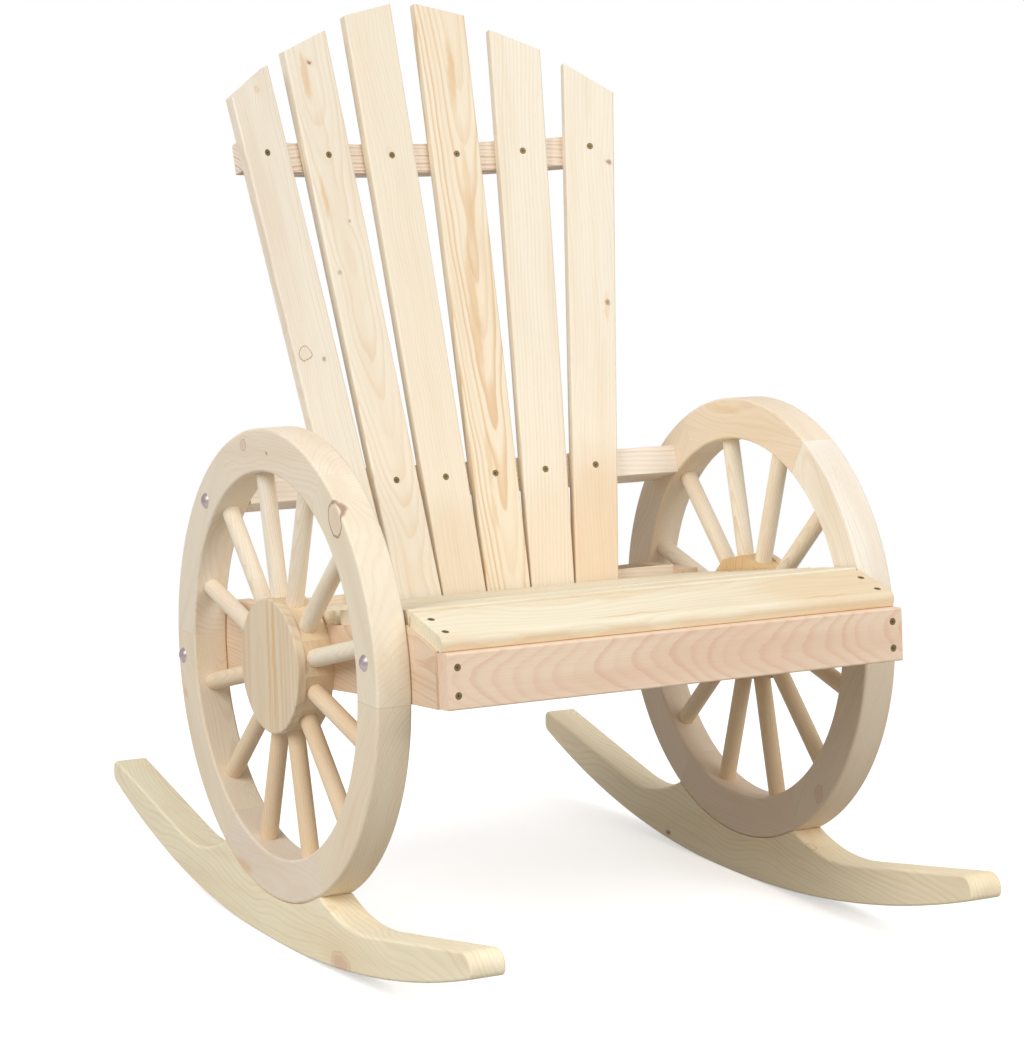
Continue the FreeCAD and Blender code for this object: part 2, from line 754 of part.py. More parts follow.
sides = (("right", lambda shape: shape), ("left", mirrored))
bolt_places = rail_bolts() + [middle_bolt()]
bolt_holes = rail_bolts(bolt_clearance) + [middle_bolt(bolt_clearance)]

for number in range(segments):
    segment = rim_segment(number)
    for hole in bolt_holes:
        segment = segment.cut(hole)
    pair = [spoke(angle) for angle in spoke_angles(number)]
    for side, place in sides:
        keep("%s_rim_segment_%d" % (side, number + 1), place(segment.Solids[0]))
        keep("%s_spokes_%d" % (side, number + 1), [place(one) for one in pair])

one_each = (
    ("hub_block", hub_block()),
    ("hub_cap", hub_cap()),
    ("rocker", rocker()),
    ("side_rail", side_rail()),
)
for name, shape in one_each:
    for side, place in sides:
        keep("%s_%s" % (side, name), place(shape))

keep("seat_apron", apron())
for number in range(len(slat_tilts)):
    slat = seat_slat(number)
    for hole in seat_screws_of(number, screw_clearance):
        slat = slat.cut(mirrored(hole))
    keep("seat_slat_%d" % (number + 1), slat.Solids[0])

for number in range(back_slats):
    keep("back_slat_%d" % (number + 1), back_slat(number))
keep("upper_back_rail", upper_rail())
keep("middle_back_rail", middle_rail())
keep("lower_back_rail", lower_rail())

keep("side_bolts", both(bolt_places))
keep("bolt_nuts", both(nut_and_washer(front_bolt) + nut_and_washer(rear_bolt)))
seat_screws = []
for number in range(len(slat_tilts)):
    seat_screws += seat_screws_of(number)
keep("seat_screws", both(seat_screws + apron_screws() + lower_rail_screws()))
back_screws = []
for number in range(back_slats):
    back_screws += back_screws_of(number)
keep("back_screws", back_screws)

os.makedirs("parts", exist_ok=True)
for name, shape in PIECES.items():
    shape.exportStep("parts/%s.step" % name)
    solids = shape.Solids
    print(name, len(solids), "solids", round(sum(s.Volume for s in solids) / 1000, 1), "cm3",
          "valid" if shape.isValid() else "NOT VALID")
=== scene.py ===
import math

import bmesh
import bpy
from mathutils import Euler, Matrix, Vector


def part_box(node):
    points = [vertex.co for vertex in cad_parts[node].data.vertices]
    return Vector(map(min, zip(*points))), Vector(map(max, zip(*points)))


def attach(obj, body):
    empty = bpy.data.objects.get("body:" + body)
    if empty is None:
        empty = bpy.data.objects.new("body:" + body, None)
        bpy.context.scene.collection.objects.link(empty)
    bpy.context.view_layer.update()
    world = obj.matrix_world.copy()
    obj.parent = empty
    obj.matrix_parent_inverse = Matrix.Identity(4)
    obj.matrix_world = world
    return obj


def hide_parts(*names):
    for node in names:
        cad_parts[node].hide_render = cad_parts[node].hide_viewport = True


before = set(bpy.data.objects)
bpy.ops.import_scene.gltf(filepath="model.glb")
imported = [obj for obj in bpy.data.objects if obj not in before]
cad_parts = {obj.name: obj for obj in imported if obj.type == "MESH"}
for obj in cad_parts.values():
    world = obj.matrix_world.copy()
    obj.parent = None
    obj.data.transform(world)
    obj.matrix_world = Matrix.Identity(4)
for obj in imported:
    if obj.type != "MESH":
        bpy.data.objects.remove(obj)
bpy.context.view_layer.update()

# The chair is a garden rocking chair of planed, untreated pine. It is dressed in the order
# in which it is put together: wheels, rockers, seat, back, bolts and screws. Places and
# sizes are in metres, apart from those inside a board, which are in millimetres.

# Wheels: rims
# Each rim is glued up from six segments of 39 mm pine plank, sawn round and sanded. The
# grain of a segment runs straight along its chord, so the figure changes at every joint.

CREAM = "F5E8D1"          # early wood
TAN = "DDB988"            # late wood
# Amber is also used for painted shade low on three back slats.
AMBER = "DDB073"          # resin
BARK = "8A6248"           # bark round a dead knot
KNOT_RED = "CF9A80"       # the heart of a live knot
GLUE = "A98560"           # a glued joint
MILLIMETRES = 1000        # in a metre

# Knots and resin aren't true ellipses: their edges stray within this range, in millimetres
# across, through and along the board.
STRAY = (7, 7, 14)
STRAY_SCALE = 0.06        # how often the straying repeats per millimetre
KNOT_PUSH = 1.2           # how far a knot pushes the rings, in its own radii
KNOT_FALL = -0.14         # how fast that push falls off
KNOT_EDGE = 0.94          # where the rind of a knot lies, in its own radii


def linear(code):
    """A screen colour as the light it stands for, for the shader sockets."""
    values = [int(code[i:i + 2], 16) / 255 for i in (0, 2, 4)]
    return [v / 12.92 if v <= 0.04045 else ((v + 0.055) / 1.055) ** 2.4 for v in values] + [1.0]


def node(tree, kind, inputs=(), **settings):
    """Adds a node with its settings. An input takes a plain value, another node's socket, or
    a node, which stands for its first output."""
    made = tree.nodes.new(kind)
    for key, value in settings.items():
        setattr(made, key, value)
    for target, source in dict(inputs).items():
        if isinstance(source, bpy.types.Node):
            source = source.outputs[0]
        if isinstance(source, bpy.types.NodeSocket):
            tree.links.new(source, made.inputs[target])
        else:
            made.inputs[target].default_value = source
    return made


def softwood_rings():
    """The growth rings of a softwood trunk as a solid pattern, in millimetres: X runs across a
    board, Y through it and Z along its grain. Knots push the rings outwards."""
    tree = bpy.data.node_groups.new("softwood growth rings", "ShaderNodeTree")
    wanted = (("Timber", "Vector"), ("Pith", "Vector"), ("Shift", "Vector"), ("Ring", "Float"),
              ("Taper", "Float"), ("Wander", "Float"), ("Knot push", "Float"))
    for name, kind in wanted:
        tree.interface.new_socket(name, in_out="INPUT", socket_type="NodeSocket" + kind)
    for name in ("Late wood", "Fibre", "Tone", "Duct"):
        tree.interface.new_socket(name, in_out="OUTPUT", socket_type="NodeSocketFloat")
    given = node(tree, "NodeGroupInput").outputs
    own = node(tree, "ShaderNodeVectorMath", {0: given["Timber"], 1: given["Shift"]})

    # Each pattern is stretched along the grain: how often it repeats per millimetre across,
    # through and along the board, and its detail. The trunk bends over some 250 mm of length
    # and its rings waver over some 11 mm. Fibres are finer than the render shows, so they are
    # drawn about 1 mm wide. The tone changes in streaks some 30 mm wide and 300 mm long.
    patterns = {
        "bend": ((0.006, 0.006, 0.004), 2.0),
        "waver": ((0.09, 0.09, 0.008), 2.0),
        "fibre": ((0.9, 0.9, 0.012), 3.0),
        "tone": ((0.03, 0.03, 0.0035), 2.0),
    }
    waver_height = 2.2
    duct_stretch = (0.35, 0.35, 0.03)
    drawn = {}
    for name, (stretch, detail) in patterns.items():
        grain = node(tree, "ShaderNodeVectorMath", {0: own, 1: stretch}, operation="MULTIPLY")
        drawn[name] = node(tree, "ShaderNodeTexNoise", {"Vector": grain, "Scale": 1.0,
                                                        "Detail": detail}).outputs

    # How far a point is from the middle of the trunk, which isn't a true cylinder.
    bend = node(tree, "ShaderNodeVectorMath", {0: drawn["bend"]["Color"], 1: (0.5, 0.5, 0.5)},
                operation="SUBTRACT")
    pushed = node(tree, "ShaderNodeVectorMath", {0: bend, "Scale": given["Wander"]},
                  operation="SCALE")
    placed = node(tree, "ShaderNodeVectorMath", {0: given["Timber"], 1: given["Pith"]},
                  operation="SUBTRACT")
    moved = node(tree, "ShaderNodeVectorMath", {0: placed, 1: pushed})
    parts = node(tree, "ShaderNodeSeparateXYZ", {0: moved}).outputs
    flat = node(tree, "ShaderNodeCombineXYZ", {0: parts[0], 1: parts[1]})
    radius = node(tree, "ShaderNodeVectorMath", {0: flat}, operation="LENGTH").outputs["Value"]
    tapered = node(tree, "ShaderNodeMath", {0: parts[2], 1: given["Taper"], 2: radius},
                   operation="MULTIPLY_ADD")
    pulled = node(tree, "ShaderNodeMath", {0: tapered, 1: given["Knot push"]})
    wavy = node(tree, "ShaderNodeMath", {0: drawn["waver"]["Fac"], 1: waver_height, 2: pulled},
                operation="MULTIPLY_ADD")
    count = node(tree, "ShaderNodeMath", {0: wavy, 1: given["Ring"]}, operation="DIVIDE")
    share = node(tree, "ShaderNodeMath", {0: count}, operation="FRACT")
    # Pale early wood darkens slowly to a thin band of late wood, which ends sharply. A map's
    # inputs 1 and 2 are the range that it reads, and 3 and 4 what it makes of it, or else 0 to 1.
    grows = node(tree, "ShaderNodeMapRange", {0: share, 1: 0.35, 2: 0.88},
                 interpolation_type="SMOOTHSTEP")
    ends = node(tree, "ShaderNodeMapRange", {0: share, 1: 0.91, 2: 1.0, 3: 1.0, 4: 0.0},
                interpolation_type="SMOOTHSTEP")
    band = node(tree, "ShaderNodeMath", {0: grows, 1: ends}, operation="MULTIPLY")
    # Years differ in how dark their late wood is.
    year = node(tree, "ShaderNodeMath", {0: count}, operation="FLOOR")
    luck = node(tree, "ShaderNodeTexWhiteNoise", {"W": year}, noise_dimensions="1D")
    weight = node(tree, "ShaderNodeMapRange", {0: luck.outputs["Value"], 3: 0.25, 4: 1.0})
    late = node(tree, "ShaderNodeMath", {0: band, 1: weight}, operation="MULTIPLY")
    # Resin ducts: short brown dashes along the grain.
    dash = node(tree, "ShaderNodeVectorMath", {0: own, 1: duct_stretch}, operation="MULTIPLY")
    cell = node(tree, "ShaderNodeTexVoronoi", {"Vector": dash, "Scale": 1.0}).outputs["Distance"]
    duct = node(tree, "ShaderNodeMapRange", {0: cell, 1: 0.08, 2: 0.20, 3: 1.0, 4: 0.0})
    node(tree, "NodeGroupOutput", {"Late wood": late, "Fibre": drawn["fibre"]["Fac"],
                                   "Tone": drawn["tone"]["Fac"], "Duct": duct})
    return tree


RINGS = softwood_rings()


def planed_wood(name, start, along, face, pith=(0, -60), ring=3.2, taper=0.03, wander=40.0,
                pale=CREAM, dark=TAN, strength=0.32, seed=1.0, knots=(), stripes=(), joints=(),
                deep=20):
    """Planed, untreated pine: silky and nearly matt, its rings glossier than the wood between
    them. start is a place on the board, along its grain, face the way its broad face looks, and
    pith the middle of the trunk, across and through. ring is the width of a year, taper the
    trunk's, wander how crooked it is, and strength how dark its late wood is. A knot is (across,
    along, radius, stretch, bark, heart, colour) and a stripe (across, along, half width, half
    length, strength), counted from start, both deep times as deep as wide; a stripe is resin,
    and low on three back slats it is painted shade. A joint is (place, direction across it,
    strength)."""
    material = bpy.data.materials.new(name)
    material.use_nodes = True
    tree = material.node_tree
    shader = tree.nodes["Principled BSDF"]
    grain = Vector(along).normalized()
    through = (Vector(face) - grain * Vector(face).dot(grain)).normalized()
    across = through.cross(grain)
    place = node(tree, "ShaderNodeTexCoord").outputs["Object"]
    moved = node(tree, "ShaderNodeVectorMath", {0: place, 1: tuple(start)}, operation="SUBTRACT")
    parts = [node(tree, "ShaderNodeVectorMath", {0: moved, 1: tuple(row * MILLIMETRES)},
                  operation="DOT_PRODUCT").outputs["Value"] for row in (across, through, grain)]
    timber = node(tree, "ShaderNodeCombineXYZ", enumerate(parts))
    stray = node(tree, "ShaderNodeTexNoise", {"Vector": timber, "Scale": STRAY_SCALE,
                                              "Detail": 3.0}).outputs["Color"]
    strayed = node(tree, "ShaderNodeVectorMath", {0: stray, 1: STRAY, 2: timber},
                   operation="MULTIPLY_ADD")

    def reach(side, up, half_width, half_length):
        """How far a point is from a long round feature in the board, in its own radii."""
        middle = (side + STRAY[0] / 2, STRAY[1] / 2, up + STRAY[2] / 2)
        radii = (1 / half_width, 1 / (deep * half_width), 1 / half_length)
        away = node(tree, "ShaderNodeVectorMath", {0: strayed, 1: middle}, operation="SUBTRACT")
        sized = node(tree, "ShaderNodeVectorMath", {0: away, 1: radii}, operation="MULTIPLY")
        return node(tree, "ShaderNodeVectorMath", {0: sized}, operation="LENGTH").outputs["Value"]

    push = 0.0
    found = []
    for side, up, radius, stretch, bark, heart, middle in knots:
        far = reach(side, up, radius, radius * stretch)
        found.append((far, bark, heart, middle))
        square = node(tree, "ShaderNodeMath", {0: far, 1: far}, operation="MULTIPLY")
        fall = node(tree, "ShaderNodeMath", {0: square, 1: KNOT_FALL}, operation="MULTIPLY")
        swell = node(tree, "ShaderNodeMath", {0: fall}, operation="EXPONENT")
        push = node(tree, "ShaderNodeMath", {0: swell, 1: radius * KNOT_PUSH, 2: push},
                    operation="MULTIPLY_ADD")
    rings = node(tree, "ShaderNodeGroup", {
        "Timber": timber, "Pith": (*pith, 0), "Shift": (37 * seed, 53 * seed, 411 * seed),
        "Ring": ring, "Taper": taper, "Wander": wander, "Knot push": push},
        node_tree=RINGS).outputs

    # Streaks of warmer tone, and then the late wood, lie over the pale early wood.
    warmth = node(tree, "ShaderNodeMapRange", {0: rings["Tone"], 1: 0.42, 2: 0.72, 4: 0.22},
                  interpolation_type="SMOOTHSTEP")
    late = node(tree, "ShaderNodeMath", {0: rings["Late wood"], 1: strength},
                operation="MULTIPLY")
    ringed = linear(pale)
    for factor in (warmth, late):
        ringed = node(tree, "ShaderNodeMix", {"Factor": factor, "A": ringed, "B": linear(dark)},
                      data_type="RGBA").outputs["Result"]
    # Fibres make it paler and darker, and the ducts are specks of resin in it.
    streak = node(tree, "ShaderNodeMapRange", {0: rings["Fibre"], 1: 0.3, 2: 0.7, 3: 0.96, 4: 1.02})
    shade = node(tree, "ShaderNodeVectorMath", {0: ringed, "Scale": streak.outputs[0]},
                 operation="SCALE")
    speck = node(tree, "ShaderNodeMath", {0: rings["Duct"], 1: 0.12}, operation="MULTIPLY")
    colour = node(tree, "ShaderNodeMix", {"Factor": speck, "A": shade, "B": linear(AMBER)},
                  data_type="RGBA").outputs["Result"]

    # Marks in the wood, and stripes of painted shade, each as a distance, how far from it the
    # mark is whole and where it ends, its strength, its colour and how it fades.
    marks = []
    for side, up, half_width, half_length, amount in stripes:
        far = reach(side, up, half_width, half_length)
        marks.append((far, 0.45, 1.1, amount, AMBER, "SMOOTHSTEP"))
    for far, bark, heart, middle in found:
        # A halo of darker wood, the heart, and the rind, which is bark round a dead knot.
        edge = node(tree, "ShaderNodeMath", {0: far, 1: KNOT_EDGE}, operation="SUBTRACT")
        off = node(tree, "ShaderNodeMath", {0: edge}, operation="ABSOLUTE")
        marks.append((far, 0.9, 2.4, 0.3 * heart, dark, "SMOOTHSTEP"))
        marks.append((far, 0.45, 1.05, heart, middle, "SMOOTHSTEP"))
        marks.append((off, 0.02, 0.13, bark, BARK, "SMOOTHSTEP"))
    for spot, direction, amount in joints:
        # A glued joint shows as a thin darker seam, drawn about 1 mm wide.
        away = node(tree, "ShaderNodeVectorMath", {0: place, 1: tuple(spot)}, operation="SUBTRACT")
        gap = node(tree, "ShaderNodeVectorMath", {0: away, 1: tuple(direction * MILLIMETRES)},
                   operation="DOT_PRODUCT").outputs["Value"]
        off = node(tree, "ShaderNodeMath", {0: gap}, operation="ABSOLUTE")
        marks.append((off, 0.2, 0.7, amount, GLUE, "LINEAR"))
    for distance, whole, end, amount, over, fade in marks:
        factor = node(tree, "ShaderNodeMapRange", {0: distance, 1: whole, 2: end, 3: amount,
                                                   4: 0.0}, interpolation_type=fade)
        colour = node(tree, "ShaderNodeMix", {"Factor": factor, "A": colour, "B": linear(over)},
                      data_type="RGBA").outputs["Result"]
    tree.links.new(colour, shader.inputs["Base Color"])

    gloss = node(tree, "ShaderNodeMapRange", {0: rings["Late wood"], 3: 0.64, 4: 0.50})
    tree.links.new(gloss.outputs[0], shader.inputs["Roughness"])
    height = node(tree, "ShaderNodeMath", {0: rings["Fibre"], 1: 0.7, 2: rings["Late wood"]},
                  operation="MULTIPLY_ADD")
    relief = node(tree, "ShaderNodeBump", {"Strength": 0.3, "Distance": 0.0002, "Height": height})
    tree.links.new(relief.outputs[0], shader.inputs["Normal"])
    shader.inputs["IOR"].default_value = 1.5
    shader.inputs["Specular IOR Level"].default_value = 0.35
    return material


def dress(name, material):
    """Gives a finished CAD piece its material."""
    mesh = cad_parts[name].data
    mesh.materials.clear()
    mesh.materials.append(material)


HUB_BACK, HUB_HEIGHT = -0.0035, 0.295         # the wheels' middle, along Y and Z
HUB = Vector((0, HUB_BACK, HUB_HEIGHT))
SIDES = {"right": 1, "left": -1}
WHEEL_INSIDE, WHEEL_OUTSIDE = 0.2695, 0.3085  # a wheel's faces, along X
RIM_MIDDLE = 0.225                            # from the hub to the middle of the rim's width
SEGMENT = 60                                  # of a wheel, in degrees
JOINT_MARK, PLAIN_JOINT_MARK = 0.16, 0.5      # how strongly a joint shows
# Knots and resin of single segments, as (side, number).
rim_knots = {
    ("left", 1): [(1.5, 72.6, 14, 1.3, 0.7, 0.16, KNOT_RED)],
    ("left", 6): [(0.2, 64.3, 6, 1.2, 0.55, 0.3, KNOT_RED), (2.1, 6.3, 2.2, 1.2, 0.6, 0.7, BARK)],
    ("right", 2): [(0.9, -65, 8, 1.2, 0.3, 0.35, KNOT_RED)],
    ("left", 4): [(-6, -55, 4, 1.3, 0.3, 0.3, KNOT_RED)],
}
rim_stripes = {
    ("left", 3): [(-6, -84, 9, 34, 0.5)],
    ("left", 2): [(2, -20, 5, 45, 0.16)],
    ("right", 6): [(8, 35, 6, 40, 0.3)],
}
# Painted shade: the far wheel's lower segments, 2 to 4, are darker and warmer than its upper ones.
rim_pales_with_painted_shade = {"left": ("F0E3CB", "EFE0C6", "EFE0CC", "F1E2CA", "F1E5D0", "F1E2CC"),
             "right": ("F6EEDF", "E9D8BF", "EBD6BE", "EDDAC2", "F2E2CB", "F3E3CB")}
for side, sign in SIDES.items():
    # The face that the camera sees from the front: the near wheel's outer, the far one's inner.
    near_face = WHEEL_OUTSIDE if side == "left" else WHEEL_INSIDE
    for number in range(1, 7):
        middle = math.radians(SEGMENT * number)
        out = Vector((0, -math.sin(middle), math.cos(middle)))
        chord = Vector((0, math.cos(middle), math.sin(middle)))
        start = HUB + out * RIM_MIDDLE + Vector((sign * near_face, 0, 0))
        joint_angle = middle + math.radians(SEGMENT / 2)
        # Most joints are nearly lost in the grain; one at the front of the near wheel is plain.
        joint = (HUB, Vector((0, math.cos(joint_angle), math.sin(joint_angle))),
                 PLAIN_JOINT_MARK if (side, number) == ("left", 1) else JOINT_MARK)
        # Each segment is sawn from another place in the trunk.
        pith = (62 * math.sin(number * 2.4 + sign), -30 - 8 * (number % 4))
        dress("%s_rim_segment_%d" % (side, number), planed_wood(
            "sanded pine, %s rim segment %d" % (side, number), start, chord, (sign, 0, 0),
            pith=pith, ring=3.0, taper=0.03, seed=number + 7 * (sign + 2),
            knots=rim_knots.get((side, number), ()), stripes=rim_stripes.get((side, number), ()),
            pale=rim_pales_with_painted_shade[side][number - 1], dark="D8B891", strength=0.24, joints=[joint],
            deep=1.2))

# Wheels: spokes
# Twelve turned dowels of 19 mm a wheel, two in each segment, glued into the rim and the hub.

# Painted shade: the lower spokes, 2 to 4, are darker and warmer than the upper ones.
spoke_pales_with_painted_shade = {1: "F3E8D2", 2: "F0D9B8", 3: "F0D6B2", 4: "F2DDBD", 5: "F3E6CF", 6: "F4EAD6"}
for side, sign in SIDES.items():
    for number, pale in spoke_pales_with_painted_shade.items():
        middle = math.radians(SEGMENT * number)
        out = Vector((0, -math.sin(middle), math.cos(middle)))
        dress("%s_spokes_%d" % (side, number), planed_wood(
            "turned pine, %s spokes %d" % (side, number), HUB, out, (sign, 0, 0),
            pith=(70, -90), ring=2.2, taper=0.01, wander=12, seed=number + 3 * sign,
            pale=pale, dark="D9AE80", strength=0.4))

# Wheels: hubs
# A twelve-sided block takes the spokes, and a sanded round board is glued over it. The far
# block's figure is bold, and the near one's faint.

BLOCK_PLACE, CAP_PLACE = 0.285, 0.308         # where their figures are counted from, along X
hub_woods = {"right": ("E4C798", "C8935E", 0.55), "left": ("E6CFAC", "CBA378", 0.22)}
cap_stripes = [(0, 0, 2.5, 90, 0.62), (-13, 0, 5, 90, 0.62), (-32, 0, 2.5, 70, 0.4)]
for side, sign in SIDES.items():
    pale, dark, strength = hub_woods[side]
    dress("%s_hub_block" % side, planed_wood(
        "sawn pine, %s hub block" % side, HUB + Vector((sign * BLOCK_PLACE, 0, 0)), (0, 0, 1),
        (sign, 0, 0), pith=(15, -40), ring=3.0, seed=4 + sign, strength=strength, pale=pale,
        dark=dark))
    dress("%s_hub_cap" % side, planed_wood(
        "sanded pine, %s hub cap" % side, HUB + Vector((sign * CAP_PLACE, 0, 0)), (0, 0.05, 1),
        (sign, 0, 0), pith=(24, -36), ring=8.5, taper=0.01, wander=14, seed=6 + sign,
        pale="E8D5B8", dark="C7A37A", strength=0.42, stripes=cap_stripes))

# Rockers
# Sawn from one plank of pine, rounded at the tips, with a cradle that the wheel is glued in.

ROCKER_DROP = 0.25                            # from the hub down to the rockers' figure
rocker_pales = {"left": "FBEFD0", "right": "FCEDCC"}
rocker_knots = {
    "left": [(30, -162, 14, 1.7, 0.2, 0.5, KNOT_RED), (-26, -135, 7, 1.4, 0.15, 0.3, AMBER)],
    "right": [(30, 150, 3.5, 1.4, 0.6, 0.8, BARK), (-22, -150, 7, 1.8, 0.25, 0.3, AMBER)],
}
for side, sign in SIDES.items():
    near_face = WHEEL_OUTSIDE if side == "left" else WHEEL_INSIDE
    dress("%s_rocker" % side, planed_wood(
        "sanded pine, %s rocker" % side, HUB + Vector((sign * near_face, 0, -ROCKER_DROP)),
        (0, 1, 0), (-1, 0, 0), pith=(-50, -46), ring=4.6, taper=0.06, wander=60, seed=8 + sign,
        pale=rocker_pales[side], dark="D8B884", strength=0.3, knots=rocker_knots[side], deep=1.6))

# Seat: side rails and apron
# Two deep rails inside the wheels carry the seat, and the apron closes them in front.

RAIL_MIDDLE = 0.258                           # the middle of a side rail, along X
APRON_PLACE = (0, -0.3225, 0.34)              # where its figure is counted from
APRON_FACE = (0, -1, 0.0857)                  # it leans by 4.9 degrees
for side, sign in SIDES.items():
    dress("%s_side_rail" % side, planed_wood(
        "planed pine, %s side rail" % side, HUB + Vector((sign * RAIL_MIDDLE, 0, 0)), (0, 1, 0),
        (sign, 0, 0), pith=(-50, -50), seed=12 + sign, pale="E9D0B4", dark="C89C74",
        strength=0.45))
dress("seat_apron", planed_wood(
    "planed pine, apron", APRON_PLACE, (1, 0, 0), APRON_FACE, pith=(-6, -62), ring=4.0,
    taper=-0.19, wander=24, seed=15, pale="F1D8BD", dark="D5A081", strength=0.36))

# Seat: slats
# Five planed boards screwed down at their ends, the front one with a rounded nose.

seat_stripes = {
    1: [(-22, -40, 2.5, 60, 0.5), (-25, 190, 3, 40, 0.4), (20, -40, 6, 26, 0.25),
        (0, 215, 60, 120, 0.34)],
    2: [(10, 100, 3, 90, 0.3)],
    3: [],
    4: [(-8, -60, 3, 70, 0.35)],
    5: [],
}
for number, stripes in seat_stripes.items():
    low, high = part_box("seat_slat_%d" % number)
    middle = (low + high) / 2
    dress("seat_slat_%d" % number, planed_wood(
        "planed pine, seat slat %d" % number, (middle.x, middle.y, high.z), (1, 0, 0), (0, 0, 1),
        pith=(70 - 25 * number, -36), ring=5.6, taper=0.015, seed=20 + number,
        pale="F0E6CC", dark="D9B27C", strength=0.24, stripes=stripes))

# Back: slats
# Six long flat-sawn boards in a fan, with slanted tops. Each has a figure of its own: the
# fourth is cut near the middle of the trunk, and shows long flames and bold stripes. The wide
# stripes low on the third, fifth and sixth are painted shade just above the seat.

LEAN = math.radians(17.4)
UP = Vector((0, math.sin(LEAN), math.cos(LEAN)))
OUTWARD = Vector((0, -math.cos(LEAN), math.sin(LEAN)))
# The back's middle at seat height. The slats' figures are counted up from there.
BACK_START = Vector((0, HUB_BACK + 0.0969, HUB_HEIGHT + 0.0375))
SLAT_PITCH = 0.05575      # spacing of the slats at seat height
FAN = 0.0526              # growth of the spacing for each metre upwards
HOLLOW = 0.00062          # how far a slat stands forward, times its place squared
HOLLOW_GROWTH = 0.006     # the same for each metre upwards
SLAT_TURN = 3.5           # turn of a slat against its neighbour, in degrees, halfway up
slat_figures = {
    1: dict(pith=(-60, -34), pale="F3E9D7", dark="D8B592", strength=0.3, knots=[
        (13, 280, 8, 1.15, 0.6, 0.1, TAN), (-9, 272, 2.5, 1.2, 0.5, 0.6, BARK),
        (-8, 575, 3, 1.5, 0.35, 0.3, TAN)]),
    2: dict(pith=(4, -30), pale="F3E8D4", dark="DDBA8E", strength=0.34, ring=4.4, taper=-0.05,
            knots=[(1.4, 609, 2.2, 1.2, 0.5, 0.8, BARK), (-9, 427, 1.4, 1.3, 0.5, 0.6, BARK),
                   (17.5, 371, 2.2, 1.2, 0.6, 0.5, "8C8468")],
            stripes=[(9, 592, 6, 34, 0.5), (16.5, 452, 3.5, 30, 0.45), (-2, 500, 3, 60, 0.18)]),
    # The wide stripe low on slat 3 is painted shade just above the seat.
    3: dict(pith=(70, -60), pale="F2E6D0", dark="E0C197", strength=0.25, stripes=[
        (2, 505, 7, 10, 0.14), (0, 40, 60, 80, 0.14)]),
    4: dict(pith=(-9, -21), pale="F3E5CC", dark="D8AB74", strength=0.7, ring=4.6, taper=-0.045,
            wander=26, stripes=[
                (-5, 592, 5.5, 48, 0.5), (-8, 462, 5, 62, 0.36), (2, 318, 7, 95, 0.48),
                (6, 150, 4.5, 40, 0.36), (7, 88, 4, 26, 0.3)]),
    # The wide stripe low on slat 5 is painted shade just above the seat.
    5: dict(pith=(-110, -40), pale="F3E9D6", dark="DDBE94", strength=0.36, ring=4.0, wander=14,
            stripes=[(0, 50, 60, 90, 0.16)]),
    # The wide stripe low on slat 6 is painted shade just above the seat; the narrow one is resin.
    6: dict(pith=(110, -34), pale="F2E8D5", dark="E0C29C", strength=0.3, ring=5.0,
            knots=[(-18.5, 489, 2.8, 1.2, 0.6, 0.7, BARK),
                   (-16.4, 324, 3.1, 1.2, 0.65, 0.7, BARK)],
            stripes=[(-16, 318, 3.4, 20, 0.3), (0, 60, 60, 110, 0.34)]),
}
for number, figure in slat_figures.items():
    place = number - (len(slat_figures) + 1) / 2
    start = BACK_START + Vector((SLAT_PITCH * place, 0, 0)) + OUTWARD * (HOLLOW * place ** 2)
    grain = UP + Vector((FAN * place, 0, 0)) + OUTWARD * (HOLLOW_GROWTH * place ** 2)
    face = OUTWARD + Vector((math.sin(math.radians(SLAT_TURN * place)), 0, 0))
    dress("back_slat_%d" % number, planed_wood(
        "planed pine, back slat %d" % number, start, grain, face, seed=30 + number, **figure))

# Back: rails
# Three rails behind the slats: a curved one above, a hollow one between the wheels, and a
# low one between the side rails. Their rings run straight along them.

rail_woods = {
    "upper_back_rail": ("F8EBD8", "CE9876", 0.8),
    "middle_back_rail": ("FBF2E4", "D9AE86", 0.45),
    "lower_back_rail": ("F4E4CC", "D9AE86", 0.5),
}
for number, (name, (pale, dark, strength)) in enumerate(rail_woods.items()):
    low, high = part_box(name)
    dress(name, planed_wood(
        "sawn pine, %s" % name.replace("_", " "), (low + high) / 2, (1, 0, 0), OUTWARD,
        pith=(-75, -30), ring=4.2, taper=0.01, wander=16, seed=41 + number, pale=pale,
        dark=dark, strength=strength))

# Bolts
# Coach bolts with low domed heads, washers and nuts of zinc-plated steel: a lilac grey,
# half-shiny, a little cloudy where the plating is uneven.


def plated_steel(name, metallic, scale, detail, colours, roughness):
    """Cloudy plated steel. scale is how often the clouds repeat in a metre, and colours and
    roughness go from one end of their range to the other."""
    material = bpy.data.materials.new(name)
    material.use_nodes = True
    tree = material.node_tree
    shader = tree.nodes["Principled BSDF"]
    shader.inputs["Metallic"].default_value = metallic
    place = node(tree, "ShaderNodeTexCoord").outputs["Object"]
    cloud = node(tree, "ShaderNodeTexNoise", {"Vector": place, "Scale": scale,
                                              "Detail": detail}).outputs["Fac"]
    darker, paler = colours
    plated = node(tree, "ShaderNodeMix", {"Factor": cloud, "A": linear(darker),
                                          "B": linear(paler)}, data_type="RGBA")
    tree.links.new(plated.outputs["Result"], shader.inputs["Base Color"])
    dull = node(tree, "ShaderNodeMapRange", {0: cloud, 3: roughness[0], 4: roughness[1]})
    tree.links.new(dull.outputs[0], shader.inputs["Roughness"])
    return material


# The clouds are some 4 mm across.
zinc = plated_steel("zinc plated steel", 1.0, 250.0, 3.0, ("877A7B", "B3A4A3"), (0.28, 0.5))
for name in ("side_bolts", "bolt_nuts"):
    dress(name, zinc)

